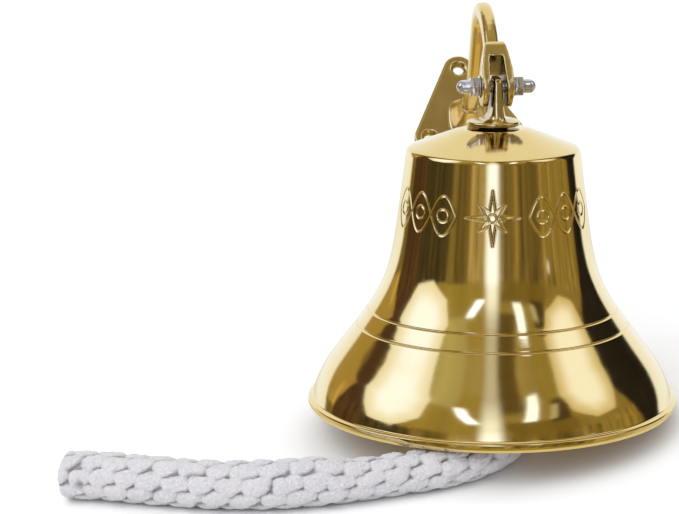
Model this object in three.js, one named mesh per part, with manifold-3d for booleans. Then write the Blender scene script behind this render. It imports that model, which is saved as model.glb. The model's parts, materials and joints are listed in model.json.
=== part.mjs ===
// Brass ship bell with a hinged wall bracket, a hanging clapper and a woven bell rope.
// The bell stands on its mouth and leans, because the rope runs out under one side of the rim.
// Millimetres, +Z up. The table is the plane z = 0.
import * as THREE from 'three';
import Module from 'manifold-3d';
import { mergeVertices } from 'three/addons/utils/BufferGeometryUtils.js';

const { PI, sin, cos, abs, sign } = Math;
const DEG = PI / 180;
const GAP = 0.25;                      // running and seating clearance between pieces

// Bell
const MOUTH_R = 101.5;                 // largest radius, at the lip
const RIM_R = 99.5;                    // outer edge of the flat rim that stands on the table
const RIM_LAND = 3.2;                  // width of that flat rim
const LIP_H = 5;                       // height of the plain lip band
const WALL_FOOT_Z = 6.4;               // where the flared wall starts, above the lip's small cove
const WALL_HEAD_Z = 141.6;
const SHOULDER_R = 46.9;
const SHOULDER_Z = 143.6;
const DOME_FLAT_R = 17;
const DOME_Z = 154.4;
const WALL = 3.8;
const GROOVES = [46.6, 55.2];          // heights of the two turned lines above the mouth
const GROOVE_W = 1.2;
const GROOVE_D = 0.6;
const STUD_R = 6;
const NECK_R = 8.2;
const SAUCER_R = 14.6;
const SAUCER_Z = 155.6;                // underside of the yoke's saucer
const BLADE_X = 1.4;                   // the yoke's blade and the bracket sit this far to one side

// Lean of the bell: rope height over the width of the rim
const ROPE_W = 25.6;
const ROPE_H = 21.6;
const LEAN = Math.asin((ROPE_H + 1.2) / (2 * RIM_R));
const PROP_DIR = -128 * DEG;           // where the rope props up the rim, seen from the bell's axis
const UPHILL = new THREE.Vector2(-cos(PROP_DIR), -sin(PROP_DIR));
const LEAN_AXIS = new THREE.Vector3(-UPHILL.y, UPHILL.x, 0);

// Clevis joint between the bell's crown and the wall bracket
const PIN_Z = 176.4;
const BOLT_R = 3;
const FORK_HALF_X = 8.7;
const SLOT_HEAD_X = 3.6;               // half width of the slot at its head
const SLOT_FOOT_X = 5.2;               // and at its open foot
const SLOT_FOOT_Z = -16;
const FORK_HALF_Y = 11;
const FORK_TOP = 24;
const SLOT_TOP = 13;
const BRACKET_TILT = -38.5 * DEG;      // how far the bracket has sunk from its level position

// Wall plate and arm, in the bracket's own level frame with the pin at the origin
const PLATE_Y = 116.5;
const PLATE_T = 5;
const TOP_HOLE_Z = 81.8;
const LOW_HOLE_Z = 37;
const LOW_HOLE_X = 24;
const CORNER_R = 9;
const SCREW_R = 3.1;
const SINK_R = 4.9;
const PLATE_ROLL = -4.3 * DEG;         // the plate is cast a little out of square with the fork
const ROOT_Z = 46.8;
const ARM_W = 8.4;
const ARM_H = 10.4;
const ARM_POWER = 3;                   // roundness of the arm's section

// Clapper
const PIVOT_Z = 128;
const BALL_DROP = 98;
const BALL_R = 16.5;
const ROD_R = 3.5;
const EYE_DROP = 126.2;

const manifold = await Module();
manifold.setup();

function toSolid(geometry) {
  const plain = geometry.clone();
  plain.deleteAttribute('normal');
  plain.deleteAttribute('uv');
  const merged = mergeVertices(plain, 1e-4);
  return new manifold.Manifold(new manifold.Mesh({
    numProp: 3,
    vertProperties: new Float32Array(merged.attributes.position.array),
    triVerts: new Uint32Array(merged.index.array),
  }));
}

function toGeometry(solid) {
  const mesh = solid.getMesh();
  const geometry = new THREE.BufferGeometry();
  geometry.setAttribute('position', new THREE.BufferAttribute(new Float32Array(mesh.vertProperties), 3));
  geometry.setIndex(new THREE.BufferAttribute(new Uint32Array(mesh.triVerts), 1));
  geometry.computeVertexNormals();
  return geometry;
}

function join(first, ...others) {
  return toGeometry(others.reduce((sum, g) => sum.add(toSolid(g)), toSolid(first)));
}

function cut(first, ...tools) {
  return toGeometry(tools.reduce((rest, g) => rest.subtract(toSolid(g)), toSolid(first)));
}

// A turned piece: the outline is a closed list of [radius, height] points
function turned(outline, segments = 48) {
  const points = outline.map(([r, z]) => new THREE.Vector2(r, z));
  const open = outline.some(([r]) => r < 1e-9);
  if (!open) {
    points.push(points[0].clone());
  }
  return new THREE.LatheGeometry(points, segments).rotateX(PI / 2);
}

// A plate cut from an outline in X and Y, with its thickness centred on z = 0
function plateOf(shape, thickness, bevel = 0, curveSegments = 10) {
  const options = {
    depth: thickness - 2 * bevel,
    bevelEnabled: bevel > 0,
    bevelThickness: bevel,
    bevelSize: bevel,
    bevelOffset: -bevel,
    bevelSegments: 2,
    curveSegments,
  };
  return new THREE.ExtrudeGeometry(shape, options).translate(0, 0, bevel - thickness / 2);
}

// Turns a piece drawn in X and Y into one standing in the Y and Z plane
function standing(geometry) {
  return geometry.rotateX(PI / 2).rotateZ(PI / 2);
}

function alongX(geometry) {
  return geometry.rotateY(PI / 2);
}

function rod(radius, length, segments = 32) {
  return new THREE.CylinderGeometry(radius, radius, length, segments).rotateX(PI / 2);
}

// A superellipse ring: power 2 is an ellipse, higher powers are closer to a rectangle
function ring(halfX, halfY, z, power, count = 40) {
  const points = [];
  for (let i = 0; i < count; i += 1) {
    const a = (i + 0.5) * 2 * PI / count;
    const x = sign(cos(a)) * abs(cos(a)) ** (2 / power);
    const y = sign(sin(a)) * abs(sin(a)) ** (2 / power);
    points.push(new THREE.Vector3(halfX * x, halfY * y, z));
  }
  return points;
}

// Moves a ring sideways
function shifted(points, dx) {
  return points.map((p) => new THREE.Vector3(p.x + dx, p.y, p.z));
}

// A closed skin over a stack of rings, lowest ring first
function loft(rings) {
  const count = rings[0].length;
  const points = rings.flat();
  const low = points.length;
  const middle = (list) => list.reduce((s, p) => s.add(p), new THREE.Vector3()).divideScalar(list.length);
  points.push(middle(rings[0]), middle(rings[rings.length - 1]));
  const faces = [];
  for (let i = 0; i < count; i += 1) {
    const j = (i + 1) % count;
    for (let k = 0; k + 1 < rings.length; k += 1) {
      const a = k * count;
      const b = a + count;
      faces.push(a + i, a + j, b + j, a + i, b + j, b + i);
    }
    const top = (rings.length - 1) * count;
    faces.push(low, j, i, low + 1, top + i, top + j);
  }
  const geometry = new THREE.BufferGeometry().setFromPoints(points);
  geometry.setIndex(faces);
  geometry.computeVertexNormals();
  return geometry;
}

function hexagon(acrossFlats, turn = 0) {
  const shape = new THREE.Shape();
  const r = acrossFlats / 2 / cos(PI / 6);
  for (let i = 0; i < 6; i += 1) {
    const a = i * PI / 3 + turn;
    shape[i ? 'lineTo' : 'moveTo'](r * cos(a), r * sin(a));
  }
  shape.closePath();
  return shape;
}

function tube(path, halfAlongNormal, halfAcross, steps, sides = 12) {
  const shape = new THREE.Shape();
  for (let i = 0; i < sides; i += 1) {
    const a = (i + 0.5) * 2 * PI / sides;
    shape[i ? 'lineTo' : 'moveTo'](halfAlongNormal * cos(a), halfAcross * sin(a));
  }
  shape.closePath();
  return new THREE.ExtrudeGeometry(shape, { steps, extrudePath: path, bevelEnabled: false });
}

// A bar of superellipse section along a path
function bar(path, width, depth, power, steps) {
  const outline = ring(width / 2, depth / 2, 0, power, 16);
  const shape = new THREE.Shape(outline.map((p) => new THREE.Vector2(p.x, p.y)));
  return new THREE.ExtrudeGeometry(shape, { steps, extrudePath: path, bevelEnabled: false });
}

const brass = (roughness = 0.12) => new THREE.MeshStandardMaterial({
  color: 0xd9ab57,
  metalness: 1,
  roughness,
});
const plated = () => new THREE.MeshStandardMaterial({ color: 0xc9ccd2, metalness: 1, roughness: 0.2 });
const cotton = () => new THREE.MeshStandardMaterial({ color: 0xe4e2de, metalness: 0, roughness: 0.95 });
const fibre = () => new THREE.MeshStandardMaterial({ color: 0x3a2c22, metalness: 0, roughness: 0.8 });

function named(name, geometry, material) {
  const mesh = new THREE.Mesh(geometry, material);
  mesh.name = name;
  return mesh;
}

// ---- Bell shell ----

// Outside of the bell from the lip up to the shoulder, as [radius, height]
const outside = new THREE.SplineCurve([
  [98.9, WALL_FOOT_Z],
  [97.12, 12],
  [94.48, 18],
  [90.43, 25],
  [84.63, 33],
  [78.48, 41],
  [71.87, 50],
  [65.84, 59],
  [61.01, 68],
  [57.28, 78],
  [54.5, 90],
  [52.28, 104],
  [49.85, 122],
  [47.3, WALL_HEAD_Z],
].map(([r, z]) => new THREE.Vector2(r, z)));

function outsideRadius(z) {
  let low = 0;
  let high = 1;
  for (let i = 0; i < 40; i += 1) {
    const t = (low + high) / 2;
    if (outside.getPoint(t).y < z) {
      low = t;
    } else {
      high = t;
    }
  }
  return outside.getPoint(low).x;
}

function bellOutline() {
  const heights = [];
  for (let i = 0; i <= 20; i += 1) {
    heights.push(WALL_FOOT_Z + (WALL_HEAD_Z - WALL_FOOT_Z) * (i / 20) ** 1.15);
  }
  const clear = heights.filter((z) => GROOVES.every((g) => abs(z - g) > GROOVE_W));
  const wall = clear.map((z) => [outsideRadius(z), z]);
  for (const g of GROOVES) {
    wall.push([outsideRadius(g - GROOVE_W / 2), g - GROOVE_W / 2]);
    wall.push([outsideRadius(g) - GROOVE_D, g]);
    wall.push([outsideRadius(g + GROOVE_W / 2), g + GROOVE_W / 2]);
  }
  wall.sort((a, b) => a[1] - b[1]);
  const lip = [[RIM_R, 0], [MOUTH_R, 2.4], [MOUTH_R, LIP_H], [MOUTH_R - 1.7, LIP_H + 0.6]];
  const shoulder = [[SHOULDER_R - 0.2, SHOULDER_Z - 0.6], [SHOULDER_R - 1.4, SHOULDER_Z + 0.2]];
  const dome = [[32, 149], [20, 153.6], [DOME_FLAT_R, DOME_Z], [STUD_R + GAP, DOME_Z]];
  const inside = [
    [STUD_R + GAP, DOME_Z - 4.4],
    [DOME_FLAT_R - 2, DOME_Z - 4.4],
    [30, 144.6],
    [40.5, 140.4],
    [43, 137.5],
  ];
  for (const z of [122, 102, 82, 66, 52, 40, 30, 21, 12]) {
    inside.push([outsideRadius(z + 1) - WALL - (z < 35 ? 1.2 : 0), z]);
  }
  inside.push([RIM_R - RIM_LAND + 0.4, 4], [RIM_R - RIM_LAND, 0]);
  return [...lip, ...wall, ...shoulder, ...dome, ...inside];
}

const bell = new THREE.Group();
bell.add(named('bell_shell', turned(bellOutline(), 80), brass(0.08)));

// ---- Crown yoke: stud, saucer and blade in one casting ----

function crownYoke() {
  const stack = [
    ring(STUD_R, STUD_R, 137.4, 2),
    ring(STUD_R, STUD_R, DOME_Z + 0.8, 2),
    ring(NECK_R, NECK_R, DOME_Z + 0.8, 2),
    ring(SAUCER_R - 0.8, SAUCER_R - 0.8, SAUCER_Z, 2),
    ring(SAUCER_R, SAUCER_R, SAUCER_Z + 0.4, 2),
    ring(SAUCER_R, SAUCER_R, SAUCER_Z + 2.1, 2),
    ring(SAUCER_R - 0.6, SAUCER_R - 0.6, SAUCER_Z + 2.5, 2),
    shifted(ring(8.4, 12.8, 159, 2.2), BLADE_X * 0.4),
    shifted(ring(5.4, 11.8, 160, 2.6), BLADE_X * 0.8),
    shifted(ring(4.3, 11.2, 161.4, 3.4), BLADE_X),
    shifted(ring(3.7, 10.7, 164, 4), BLADE_X),
    shifted(ring(3.1, 10, 168.6, 5), BLADE_X),
    shifted(ring(2.6, 9.3, 176, 6), BLADE_X),
    shifted(ring(2.3, 8.6, 179.6, 6), BLADE_X),
    shifted(ring(1.9, 7.4, 181.4, 6), BLADE_X),
  ];
  const hole = alongX(rod(BOLT_R + GAP, 20)).translate(0, 0, PIN_Z);
  return cut(loft(stack), hole);
}

bell.add(named('crown_yoke', crownYoke(), brass(0.14)));

const gasket = [
  [STUD_R + GAP, DOME_Z + 0.15],
  [NECK_R - 0.3, DOME_Z + 0.15],
  [NECK_R - 0.3, DOME_Z + 0.65],
  [STUD_R + GAP, DOME_Z + 0.65],
];
bell.add(named('crown_gasket', turned(gasket), fibre()));

const washer = [[STUD_R + GAP, 148.4], [12.5, 148.4], [12.5, 149.8], [STUD_R + GAP, 149.8]];
bell.add(named('crown_washer', turned(washer), plated()));

const nutBlank = plateOf(hexagon(19), 4.8, 0.4).translate(0, 0, 145.8);
bell.add(named('crown_nut', cut(nutBlank, rod(STUD_R + GAP, 20).translate(0, 0, 145.8)), plated()));

// ---- Clapper staple: a screwed hub with two ears ----

const swing = new THREE.Group();       // local X is the clapper's pivot axis
swing.rotation.z = Math.atan2(LEAN_AXIS.y, LEAN_AXIS.x);
swing.position.z = PIVOT_Z;
bell.add(swing);

function staple() {
  const hub = turned([[0, 7.2], [9.5, 7.2], [9.5, 14.4], [8.6, 15], [0, 15]]);
  const bore = rod(STUD_R + GAP, 12).translate(0, 0, 15);
  const ear = new THREE.Shape();
  ear.moveTo(-6, 8);
  ear.lineTo(-6, 0);
  ear.absarc(0, 0, 6, PI, 2 * PI, false);
  ear.lineTo(6, 8);
  ear.closePath();
  const left = standing(plateOf(ear, 3.2)).translate(-5.2, 0, 0);
  const right = standing(plateOf(ear, 3.2)).translate(5.2, 0, 0);
  return cut(join(hub, left, right), bore, alongX(rod(2.5 + GAP, 30)));
}

swing.add(named('clapper_staple', staple(), brass(0.3)));

function pivotPin() {
  const shank = rod(2.5, 18.6, 24).translate(0, 0, 0.4);
  const head = rod(4.2, 2, 24).translate(0, 0, -8.3);
  const groove = cut(rod(4, 0.9, 24), rod(2, 3, 24)).translate(0, 0, 8.1);
  return alongX(cut(join(shank, head), groove));
}

swing.add(named('clapper_pin', pivotPin(), plated()));
swing.add(named(
  'clapper_pin_ring',
  alongX(cut(rod(4, 0.6, 24), rod(2.2, 3, 24))).translate(8.1, 0, 0),
  plated(),
));

// ---- Clapper, hanging plumb from the staple ----

const clapper = new THREE.Group();
clapper.rotation.x = -LEAN;
swing.add(clapper);

function clapperRod() {
  const eye = alongX(rod(6.6, 6.2, 36));
  const shank = rod(ROD_R, 104.6, 28).translate(0, 0, -3 - 52.3);
  return cut(join(eye, shank), alongX(rod(2.5 + GAP, 20)));
}

function clapperBall() {
  const bore = ROD_R + GAP;
  const outline = [];
  const pole = Math.acos(bore / BALL_R);
  for (let i = 0; i <= 16; i += 1) {
    const a = -pole + 2 * pole * i / 16;
    outline.push([BALL_R * cos(a), BALL_R * sin(a) - BALL_DROP]);
  }
  return turned(outline, 40);
}

// The tail screws on to the rod's end and carries the eye for the rope's ring
const tail = new THREE.Group();
tail.rotation.z = -swing.rotation.z;
clapper.add(tail);

function clapperTail() {
  const top = -BALL_DROP - 16.6;
  const hub = turned([[0, top - 6], [4.6, top - 6], [5.6, top - 4], [5.6, top], [0, top]], 32);
  const eye = alongX(rod(6.4, 4, 32)).translate(0, 0, -EYE_DROP);
  const hole = alongX(rod(3.3, 20, 24)).translate(0, 0, -EYE_DROP);
  const bore = rod(ROD_R + GAP, 12, 28).translate(0, 0, -102);
  return cut(join(hub, eye), hole, bore);
}

clapper.add(named('clapper_rod', clapperRod(), brass(0.25)));
clapper.add(named('clapper_ball', clapperBall(), brass(0.12)));
tail.add(named('clapper_tail', clapperTail(), brass(0.2)));
const RING_R = 8;
const ringGeometry = new THREE.TorusGeometry(RING_R, 1.7, 12, 32).translate(0, -RING_R, -EYE_DROP);
tail.add(named('rope_ring', ringGeometry, plated()));

// ---- Wall bracket ----

const bracket = new THREE.Group();
bracket.position.set(BLADE_X, 0, PIN_Z);
bracket.rotation.x = BRACKET_TILT;
bell.add(bracket);

// Outline around three discs: the top screw and the two lower ones
function plateShape() {
  const discs = [[0, TOP_HOLE_Z], [-LOW_HOLE_X, LOW_HOLE_Z], [LOW_HOLE_X, LOW_HOLE_Z]];
  const shape = new THREE.Shape();
  discs.forEach(([x, z], i) => {
    const before = discs[(i + 2) % 3];
    const after = discs[(i + 1) % 3];
    const a0 = Math.atan2(z - before[1], x - before[0]) - PI / 2;
    const a1 = Math.atan2(after[1] - z, after[0] - x) - PI / 2;
    if (i === 0) {
      shape.moveTo(x + CORNER_R * cos(a0), z + CORNER_R * sin(a0));
    }
    shape.absarc(x, z, CORNER_R, a0, a1, false);
  });
  shape.closePath();
  return { shape, discs };
}

function wallBracket() {
  const { shape, discs } = plateShape();
  const rolled = (g) => g.translate(0, 0, -ROOT_Z).rotateY(PLATE_ROLL).translate(0, 0, ROOT_Z);
  const flat = plateOf(shape, PLATE_T, 0.8, 8).rotateX(PI / 2).translate(0, PLATE_Y + PLATE_T / 2, 0);
  const plate = rolled(flat);
  const arm = bar(new THREE.CatmullRomCurve3([
    [PLATE_Y + 1, ROOT_Z - 0.3],
    [89, 48.6],
    [69, 52.6],
    [52, 60],
    [36, 66],
    [21.5, 61.5],
    [12, 51.5],
    [6.8, 40],
    [4.6, 28],
    [3.6, 19],
  ].map(([y, z]) => new THREE.Vector3(0, y, z))), ARM_W, ARM_H, ARM_POWER, 36);
  const root = loft([
    ring(11, 13.5, PLATE_Y + 0.5, 3, 32),
    ring(8.8, 11, PLATE_Y - 2.5, 3, 32),
    ring(6.6, 8.6, PLATE_Y - 8, 3.4, 32),
    ring(4.6, 6.4, PLATE_Y - 17, 4, 32),
  ].map((r) => r.map((p) => new THREE.Vector3(-p.x, p.z, ROOT_Z + p.y))).reverse());
  const side = new THREE.Shape();
  side.moveTo(FORK_HALF_Y, 0);
  side.lineTo(FORK_HALF_Y, FORK_TOP - 4);
  side.absarc(FORK_HALF_Y - 4, FORK_TOP - 4, 4, 0, PI / 2, false);
  side.absarc(5 - FORK_HALF_Y, FORK_TOP - 5, 5, PI / 2, PI, false);
  side.lineTo(-FORK_HALF_Y, 0);
  side.absarc(0, 0, FORK_HALF_Y, PI, 2 * PI, false);
  const block = standing(plateOf(side, 2 * FORK_HALF_X, 1, 10));
  const taper = loft([
    ring(7.8, 14, -12, 5, 32),
    ring(8.8, 14, -6, 5, 32),
    ring(8.8, 14, 5, 5, 32),
    ring(8.1, 14, 9, 5, 32),
    ring(7.2, 14, 15, 5, 32),
    ring(6.4, 14, 19.5, 4, 32),
    ring(5.6, 14, 22.6, 3, 32),
    ring(4.2, 14, 24.5, 3, 32),
  ]);
  const fork = toGeometry(toSolid(block).intersect(toSolid(taper)));
  const gap = new THREE.Shape([
    new THREE.Vector2(-SLOT_FOOT_X, SLOT_FOOT_Z),
    new THREE.Vector2(SLOT_FOOT_X, SLOT_FOOT_Z),
    new THREE.Vector2(SLOT_HEAD_X, SLOT_TOP),
    new THREE.Vector2(-SLOT_HEAD_X, SLOT_TOP),
  ]);
  const slot = plateOf(gap, 40).rotateX(PI / 2);
  const tools = [slot, alongX(rod(BOLT_R + GAP, 30))];
  for (const [x, z] of discs) {
    const screw = new THREE.CylinderGeometry(SCREW_R, SCREW_R, 20, 24);
    const sink = new THREE.CylinderGeometry(SCREW_R, SINK_R, 2, 24);
    tools.push(rolled(screw.translate(x, PLATE_Y + 2, z)));
    tools.push(rolled(sink.translate(x, PLATE_Y + 0.95, z)));
  }
  return cut(join(plate, root, arm, fork), ...tools);
}

bracket.add(named('wall_bracket', wallBracket(), brass(0.16)));

// ---- Clevis bolt with a washer and a cap nut on each end ----

const WASHER_X = FORK_HALF_X + 0.2;
const WASHER_T = 0.7;
const NUT_X = WASHER_X + WASHER_T + 0.2;
const HEX_H = 4.6;
const CAP_H = 3.4;                     // straight part of the cap
const CAP_R = 3.8;

bracket.add(named('clevis_bolt', alongX(rod(BOLT_R, 2 * (NUT_X + 8.4))), plated()));

function capNut() {
  const hex = plateOf(hexagon(10), HEX_H, 0.4).translate(0, 0, HEX_H / 2);
  const outline = [[0, HEX_H - 0.5], [CAP_R, HEX_H - 0.5], [CAP_R, HEX_H + CAP_H]];
  for (let i = 1; i <= 6; i += 1) {
    const a = i * PI / 12;
    outline.push([i === 6 ? 0 : CAP_R * cos(a), HEX_H + CAP_H + CAP_R * sin(a)]);
  }
  return cut(join(hex, turned(outline, 32)), rod(BOLT_R + GAP, 17.2));
}

for (const [side, way] of [['left', -1], ['right', 1]]) {
  const disc = cut(rod(6, WASHER_T, 36), rod(BOLT_R + GAP, 4));
  bracket.add(named(`bolt_washer_${side}`, alongX(disc).translate(way * (WASHER_X + WASHER_T / 2), 0, 0), plated()));
  const nut = alongX(capNut());
  if (way < 0) {
    nut.rotateZ(PI);
  }
  bracket.add(named(`cap_nut_${side}`, nut.translate(way * NUT_X, 0, 0), plated()));
}

// ---- Lean the bell about the lowest point of its rim ----

const lowest = new THREE.Vector3(UPHILL.x * RIM_R, UPHILL.y * RIM_R, 0);
const leaned = new THREE.Quaternion().setFromAxisAngle(LEAN_AXIS, LEAN);
bell.quaternion.copy(leaned);
bell.position.copy(lowest).sub(lowest.clone().applyQuaternion(leaned));

// ---- Bell rope, lying on the table and running in under the rim ----

bell.updateMatrixWorld(true);
const eyeAt = tail.localToWorld(new THREE.Vector3(0, 0, -EYE_DROP));
const ropeEnd = new THREE.Vector3(eyeAt.x, eyeAt.y - 2 * RING_R - 6, ROPE_H / 2);
const ropeRoute = new THREE.CatmullRomCurve3([
  [-235, -49.7],
  [-213, -57.5],
  [-187, -69.5],
  [-162, -80.5],
  [-137, -88],
  [-112, -91.2],
  [-86, -90.5],
  [-60, -87.2],
  [-41.5, -84.3],
  [-24.2, -78],
  [-10, -68],
  [1, -54.5],
  [7.4, -39],
  [ropeEnd.x - 0.1, ropeEnd.y - 14],
  [ropeEnd.x, ropeEnd.y],
].map(([x, y]) => new THREE.Vector3(x, y, ROPE_H / 2)));

const SECTION_FIT = 1 / cos(PI / 12);  // the section's flats, not its corners, touch the table
const rope = tube(ropeRoute, ROPE_H / 2 * SECTION_FIT, ROPE_W / 2, 44, 12);

// A small cord becket joins the rope's end to the ring on the clapper's tail
const BECKET_R = 1.5;
const BECKET_ARC = 1.7 + BECKET_R + 0.5;
function becketRoute() {
  const y0 = eyeAt.y - 2 * RING_R;
  const points = [new THREE.Vector3(eyeAt.x, ropeEnd.y + 0.3, eyeAt.z - BECKET_ARC)];
  for (let i = 0; i <= 8; i += 1) {
    const a = -PI / 2 + i * PI / 8;
    points.push(new THREE.Vector3(eyeAt.x, y0 + BECKET_ARC * cos(a), eyeAt.z + BECKET_ARC * sin(a)));
  }
  points.push(new THREE.Vector3(eyeAt.x, ropeEnd.y + 0.3, eyeAt.z + BECKET_ARC));
  return new THREE.CatmullRomCurve3(points);
}

const object = new THREE.Group();
object.name = 'ship_bell';
object.add(bell);
object.add(named('bell_rope', rope, cotton()));
object.add(named('rope_becket', tube(becketRoute(), BECKET_R, BECKET_R, 20, 8), cotton()));

// The origin is at table height under the middle of the bell and bracket
const middle = new THREE.Box3().setFromObject(bell, true).getCenter(new THREE.Vector3());
object.position.set(-middle.x, -middle.y, 0);

export default object;
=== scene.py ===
import json
import math

import bmesh
import bpy
import numpy as np
from mathutils import Matrix, Vector


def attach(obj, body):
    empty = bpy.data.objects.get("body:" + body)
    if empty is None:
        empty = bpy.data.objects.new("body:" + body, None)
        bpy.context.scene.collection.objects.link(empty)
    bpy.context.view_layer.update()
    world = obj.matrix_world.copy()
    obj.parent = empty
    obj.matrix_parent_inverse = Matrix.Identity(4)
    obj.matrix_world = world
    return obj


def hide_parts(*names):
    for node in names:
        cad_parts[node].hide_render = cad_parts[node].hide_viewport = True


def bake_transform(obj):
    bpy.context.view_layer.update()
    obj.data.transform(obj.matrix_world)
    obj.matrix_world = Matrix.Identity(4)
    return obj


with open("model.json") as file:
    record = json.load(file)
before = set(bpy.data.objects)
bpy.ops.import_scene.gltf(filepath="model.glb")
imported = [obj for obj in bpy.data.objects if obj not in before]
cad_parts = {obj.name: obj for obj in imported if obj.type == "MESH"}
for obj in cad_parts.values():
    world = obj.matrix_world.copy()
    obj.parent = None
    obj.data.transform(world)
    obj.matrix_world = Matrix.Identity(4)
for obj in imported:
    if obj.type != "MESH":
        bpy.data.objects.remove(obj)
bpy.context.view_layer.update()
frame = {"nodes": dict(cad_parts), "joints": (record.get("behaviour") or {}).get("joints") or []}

MM = 0.001
SCENE = bpy.context.scene


# ---------------------------------------------------------------- frames of the three bodies

# XB and K are the axes of the bracket's pin and of the clapper's pin. ZB is the leaning bell's own axis.
PIVOT_Z = 0.128                          # the clapper's pin above the bell's mouth
JOINTS = {j["name"]: j for j in frame["joints"]}
HINGE, PIVOT = JOINTS["bracket_hinge"], JOINTS["clapper_hinge"]
XB = Vector(HINGE["axis"]).normalized()
K = Vector(PIVOT["axis"]).normalized()
UPHILL = Vector((K.y, -K.x, 0))
LEAN = math.atan2(-XB.z, XB.dot(UPHILL))
ZB = (Vector((0, 0, 1)) * math.cos(LEAN) + UPHILL * math.sin(LEAN)).normalized()
YB = ZB.cross(XB)
FOOT = Vector(PIVOT["pos_m"]) - PIVOT_Z * ZB
BELL = Matrix((
    (XB.x, YB.x, ZB.x, FOOT.x),
    (XB.y, YB.y, ZB.y, FOOT.y),
    (XB.z, YB.z, ZB.z, FOOT.z),
    (0, 0, 0, 1),
))


def turn(deg, axis):
    return Matrix.Rotation(math.radians(deg), 4, axis)


def shift(x, y, z):
    return Matrix.Translation((x, y, z))


K_TURN = math.atan2(K.y, K.x)
SWING = BELL @ shift(0, 0, PIVOT_Z) @ Matrix.Rotation(K_TURN, 4, "Z")
CLAPPER = SWING @ Matrix.Rotation(-LEAN, 4, "X")
TAIL = CLAPPER @ Matrix.Rotation(-K_TURN, 4, "Z")
ROW = Matrix.Identity(4)

# The camera stands 1.28 m in front of the bell and 0.35 m above its mouth
VIEW_AZ = -8.0
FRONT = BELL @ turn(VIEW_AZ, "Z")
CAM_AT = (0, -1.27916, 0.35463)
CAM_PAN, CAM_DOWN, CAM_ROLL = 3.7556, 12.0229, -0.3371
cam_data = bpy.data.cameras.new("camera")
cam_data.lens, cam_data.sensor_width = 126.19, 36
cam_data.clip_end = 50
cam = bpy.data.objects.new("camera", cam_data)
SCENE.collection.objects.link(cam)
cam.matrix_world = (
    FRONT @ shift(*CAM_AT) @ turn(CAM_PAN, "Z") @ turn(90 - CAM_DOWN, "X") @ turn(CAM_ROLL, "Z")
)
SCENE.camera = cam


# ---------------------------------------------------------------- helpers for meshes


def linked(name, data, matrix=None):
    """A new object in the scene."""
    obj = bpy.data.objects.new(name, data)
    SCENE.collection.objects.link(obj)
    if matrix is not None:
        obj.matrix_world = matrix
    return obj


def new_mesh(name, verts, faces, matrix=None, sharp=None):
    mesh = bpy.data.meshes.new(name)
    mesh.from_pydata([tuple(v) for v in verts], [], [tuple(f) for f in faces])
    mesh.validate()
    mesh.update()
    obj = linked(name, mesh, matrix)
    mesh.shade_smooth()
    if sharp:
        mesh.set_sharp_from_angle(angle=math.radians(sharp))
    return obj


def quads(rows, cols, closed):
    """The faces of a grid whose columns close on themselves, and whose rows do so too if closed."""
    i, j = np.meshgrid(np.arange(rows if closed else rows - 1), np.arange(cols), indexing="ij")
    i2, k = (i + 1) % rows, (j + 1) % cols
    return np.stack([i * cols + j, i * cols + k, i2 * cols + k, i2 * cols + j], -1).reshape(-1, 4).tolist()


def tube_mesh(name, points):
    """points has shape (rows, columns, 3). The columns close on themselves, and the two ends are capped."""
    rows, cols = points.shape[:2]
    faces = quads(rows, cols, False)
    faces.append(range(cols - 1, -1, -1))
    faces.append(range((rows - 1) * cols, rows * cols))
    return new_mesh(name, points.reshape(-1, 3), faces)


def give(obj, *materials):
    obj.data.materials.clear()
    for m in materials:
        obj.data.materials.append(m)


def place(obj, body, slot, *nodes):
    """Puts a finished piece on its body, in place of CAD nodes."""
    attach(obj, body)
    if nodes:
        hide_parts(*nodes)
    return obj


NOISE_CELLS = 4096


def eased(x):
    return x * x * (3 - 2 * x)


def value_noise(x, y, seed):
    """Smooth random values on a plane, from -1 to 1."""
    rng = np.random.default_rng(seed)
    table = rng.uniform(-1, 1, NOISE_CELLS)
    xi, yi = np.floor(x).astype(int), np.floor(y).astype(int)
    u, v = eased(x - xi), eased(y - yi)

    def at(a, b):
        return table[(a * 73 + b * 1291) % NOISE_CELLS]

    low = at(xi, yi) * (1 - u) + at(xi + 1, yi) * u
    high = at(xi, yi + 1) * (1 - u) + at(xi + 1, yi + 1) * u
    return low * (1 - v) + high * v


# ---------------------------------------------------------------- helpers for materials


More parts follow.
